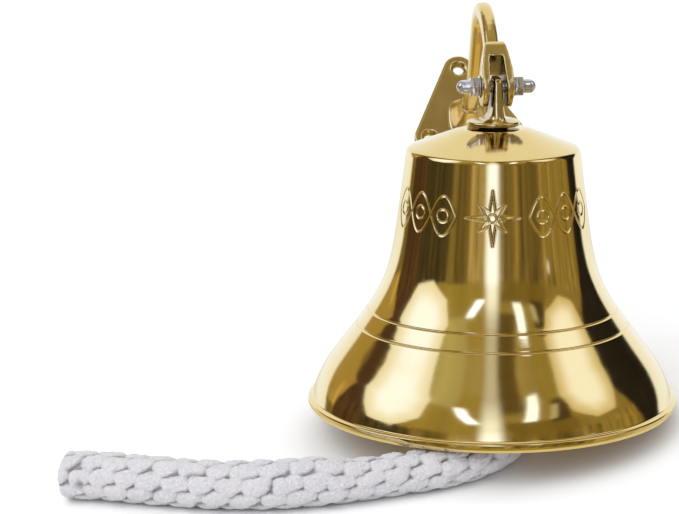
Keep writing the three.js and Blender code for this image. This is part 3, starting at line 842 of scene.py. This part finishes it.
# Walls, furniture and lamps of the studio, as polished metal sees them. Each patch has an azimuth from and
# to, an elevation from and to and an edge softness, all in degrees, a slant in degrees of azimuth for each
# degree of elevation, and a colour. Azimuth 0 is towards the camera.
PATCHES = [
    (-180, 180, 56, 91, 8, 0, lit(152, 125, 56)),
    (6, 27, 40, 91, 6, 0, lit(96, 72, 22)),
    (-62, -28, 42, 60, 8, 0, lit(168, 145, 72)),
    (-52, 62, -20, 17, 3, 0, lit(106, 82, 30)),
    (12, 62, 14, 31, 6, 0.5, lit(116, 90, 28)),
    (-27, -4, -20, 17, 5, 0, lit(156, 126, 60)),
    (6, 13, -20, 17, 3, 0, lit(140, 116, 62)),
    (20, 30, -20, 15, 3, 0, lit(128, 98, 36)),
    (60, 106, -20, 24, 4, 0, lit(138, 108, 40)),
    (-94, -52, -20, 15, 3, 0, lit(66, 52, 20)),
    (-119, -92, -20, 34, 4, 0, lit(76, 50, 22)),
    (-142, -117, 2, 24, 2, -0.35, lit(164, 127, 48)),
    (46, 60, 28, 46, 4, -0.4, lit(74, 52, 18)),
    (44, 50, 31, 42, 2.5, -0.6, lit(186, 166, 104)),
    (106, 141, -6, 36, 3, 0.3, lit(30, 23, 11)),
    (-23.5, -14, 29.5, 43, 1.6, 1.0, lit(255, 252, 225, 1.35)),
    (27.5, 37, 31, 53, 1.6, -0.48, lit(255, 250, 215, 1.2)),
    (64, 67, 6, 9, 1.2, 0, lit(240, 225, 180)),
]
# Eight-sided soft boxes: azimuth, elevation, half width, half height, colour near the middle and at the rim
BOXES = [
    (-77, 36, 27, 23, lit(255, 247, 220, 1.05), lit(240, 221, 164)),
    (83, 41, 23, 20, lit(250, 234, 186, 1.0), lit(212, 182, 108)),
]


def build_world():
    world = bpy.data.worlds.new("studio")
    SCENE.world = world
    world.use_nodes = True
    n = Nodes(world.node_tree)
    way = n.add("ShaderNodeTexCoord").outputs["Generated"]
    rot = FRONT.to_3x3().inverted()
    rows = [
        n.add("ShaderNodeVectorMath", {0: way, 1: tuple(rot[i])}, operation="DOT_PRODUCT").outputs["Value"]
        for i in range(3)
    ]
    az = n.math("MULTIPLY", n.math("ARCTAN2", rows[0], n.math("MULTIPLY", rows[1], -1.0)), 180 / math.pi)
    el = n.math("MULTIPLY", n.math("ARCSINE", rows[2]), 180 / math.pi)
    side = n.math("ABSOLUTE", az)
    color = n.mix(n.span(side, 60, 110), lit(146, 117, 41), lit(120, 92, 34))
    for a0, a1, e0, e1, soft, slant, tint in PATCHES:
        lean = n.math("ADD", az, n.math("MULTIPLY", n.math("SUBTRACT", el, (e0 + e1) / 2), slant))
        half = min(soft, 4) / 2
        mask = n.math("MULTIPLY", n.span(lean, a0 - soft / 2, a0 + soft / 2, 0, 1, True),
                      n.span(lean, a1 - soft / 2, a1 + soft / 2, 1, 0, True))
        mask = n.math("MULTIPLY", mask, n.math("MULTIPLY", n.span(el, e0 - half, e0 + half, 0, 1, True),
                                               n.span(el, e1 - half, e1 + half, 1, 0, True)))
        color = n.mix(mask, color, tint)
    # upright streaks of furniture and folds low in the room
    strip = n.add("ShaderNodeCombineXYZ", {0: az, 1: n.math("MULTIPLY", el, 0.10)}).outputs[0]
    folds = n.noise(strip, 0.30, 5.0, 0.75)
    low = n.math("MULTIPLY", n.span(el, 13, 19, 1, 0, True), n.span(side, 122, 134, 1, 0))
    shade = n.mix(n.span(folds, 0.36, 0.64), (0.26, 0.23, 0.17), (1.85, 1.9, 2.0))
    folded = n.mix(1.0, color, shade, "MULTIPLY")
    color = n.mix(low, color, folded)
    wide = n.noise(strip, 0.05, 2.0, 0.5)
    shade = n.mix(n.span(wide, 0.3, 0.7), (0.82, 0.80, 0.76), (1.15, 1.16, 1.2))
    color = n.mix(1.0, color, shade, "MULTIPLY")
    for a, e, w, h, core, edge in BOXES:
        x = n.math("ABSOLUTE", n.math("MULTIPLY", n.math("SUBTRACT", az, a), 1 / w))
        y = n.math("ABSOLUTE", n.math("MULTIPLY", n.math("SUBTRACT", el, e), 1 / h))
        far = n.math("MAXIMUM", n.math("MAXIMUM", x, y), n.math("MULTIPLY", n.math("ADD", x, y), 0.735))
        glow = n.mix(n.span(far, 0.35, 0.95, 0, 1, True), core, edge)
        color = n.mix(n.span(far, 0.97, 1.02, 1, 0, True), color, glow)
    # a tall lamp beside the camera, wide low down and narrow above
    core = n.math("MULTIPLY", n.span(side, 1.5, 10.5, 1, 0, True),
                  n.math("MULTIPLY", n.span(el, -3, 4, 0, 1, True), n.span(el, 13, 24, 1, 0, True)))
    stem = n.math("MULTIPLY", n.span(side, 2.2, 11.0, 1, 0, True),
                  n.math("MULTIPLY", n.span(el, -3, 4, 0, 1, True), n.span(el, 26, 56, 0.95, 0.34, True)))
    color = n.mix(stem, color, lit(255, 244, 200))
    color = n.mix(core, color, lit(255, 251, 228, 1.12))
    # bright paper behind and under the bell
    leaning = n.math("SUBTRACT", side, n.math("MULTIPLY", n.math("MAXIMUM", el, -4.0), 0.8))
    behind = n.span(leaning, 130, 134, 0, 1, True)
    behind = n.math("MAXIMUM", behind, n.span(side, 139, 146, 0, 1, True))
    cream = n.mix(n.span(el, 0, 40), lit(243, 227, 176), lit(228, 205, 140))
    color = n.mix(behind, color, cream)
    under = n.math("MULTIPLY", n.span(el, -14, -5, 1, 0, True), n.span(side, 62, 128, 0.0, 1.0, True))
    color = n.mix(under, color, lit(214, 186, 112))
    # mirrors see the studio, soft surfaces see even light, and the camera sees white paper
    path = n.add("ShaderNodeLightPath")
    mirror = n.add("ShaderNodeBackground", {"Color": color, "Strength": 1.0})
    soft = n.add("ShaderNodeBackground", {"Color": (0.98, 0.99, 1.0, 1), "Strength": 1.0})
    paper = n.add("ShaderNodeBackground", {"Color": (1, 1, 1, 1), "Strength": 1.0})
    glossy, camera = path.outputs["Is Glossy Ray"], path.outputs["Is Camera Ray"]
    pick = n.add("ShaderNodeMixShader", {0: glossy, 1: soft.outputs[0], 2: mirror.outputs[0]})
    pick = n.add("ShaderNodeMixShader", {0: camera, 1: pick.outputs[0], 2: paper.outputs[0]})
    n.add("ShaderNodeOutputWorld", {0: pick.outputs[0]})


build_world()


def soft_light(name, at, size, power, target=(0, 0, 0.05)):
    data = bpy.data.lights.new(name, "AREA")
    data.shape, data.size, data.size_y, data.energy = "RECTANGLE", size[0], size[1], power
    facing = (Vector(at) - Vector(target)).to_track_quat("Z", "Y").to_matrix().to_4x4()
    obj = linked(name, data, shift(*at) @ facing)
    obj.visible_glossy = False
    obj.visible_camera = False


soft_light("key", (-1.1, -0.9, 1.7), (1.6, 1.6), 16)
SCENE.view_settings.view_transform = "Standard"
SCENE.view_settings.look = "None"

bpy.context.view_layer.update()
